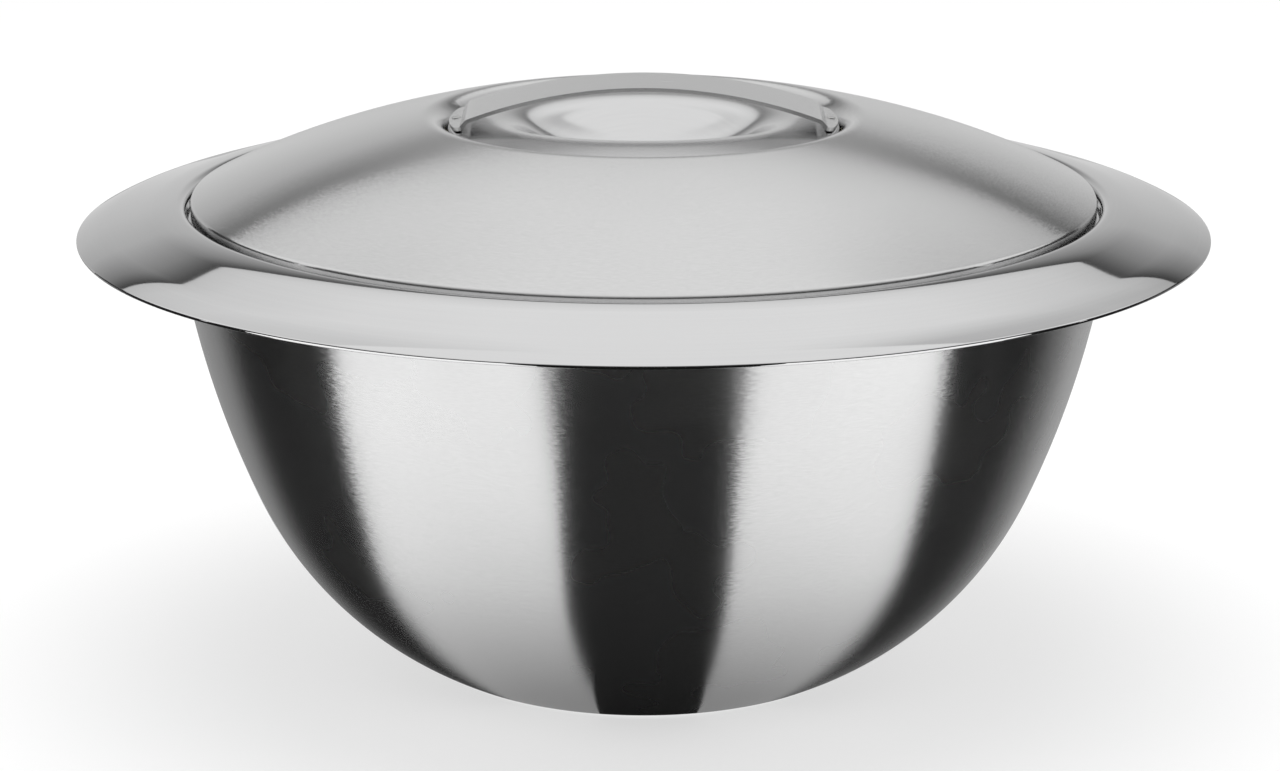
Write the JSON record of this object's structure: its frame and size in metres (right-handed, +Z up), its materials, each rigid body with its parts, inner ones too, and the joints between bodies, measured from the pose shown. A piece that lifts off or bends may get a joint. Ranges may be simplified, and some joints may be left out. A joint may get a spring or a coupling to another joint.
{
  "type": "insulated serving bowl with lid",
  "caption": "Double-walled stainless serving bowl with a wide polished flange and a domed lift-off lid with a strap handle over a finger hollow.",
  "frame": {"origin": "centre of the bowl's base, on the surface it stands on", "axes": "+Z up along the axis of the bowl and lid, X along the strap handle, -Y towards the viewer of the picture"},
  "size_m": [0.2996, 0.2994, 0.1578],
  "materials": {
    "satin_steel": "satin, brushed round the bowl",
    "polished_steel": "mirror polished",
    "foam": "rigid foam",
    "plug_plastic": "matt",
    "satin_lid": "satin, brushed round the lid",
    "liner_steel": "fine satin",
    "polished_cup": "mirror polished",
    "polished_strap": "polished",
    "rivet_steel": "satin"
  },
  "bodies": {
    "bowl": {"outer_shell": "satin_steel", "inner_bowl": "polished_steel", "bowl_insulation": "foam", "filling_plug": "plug_plastic"},
    "lid": {"lid_dome": "satin_lid", "lid_liner": "liner_steel", "lid_insulation": "foam", "handle_cup": "polished_cup", "handle_strap": "polished_strap", "handle_rivets": "rivet_steel"}
  },
  "joints": [
    {"name": "lid_lift", "type": "slide", "parent": "bowl", "child": "lid", "axis": [0, 0, 1], "range_m": [0, 0.2]}
  ]
}
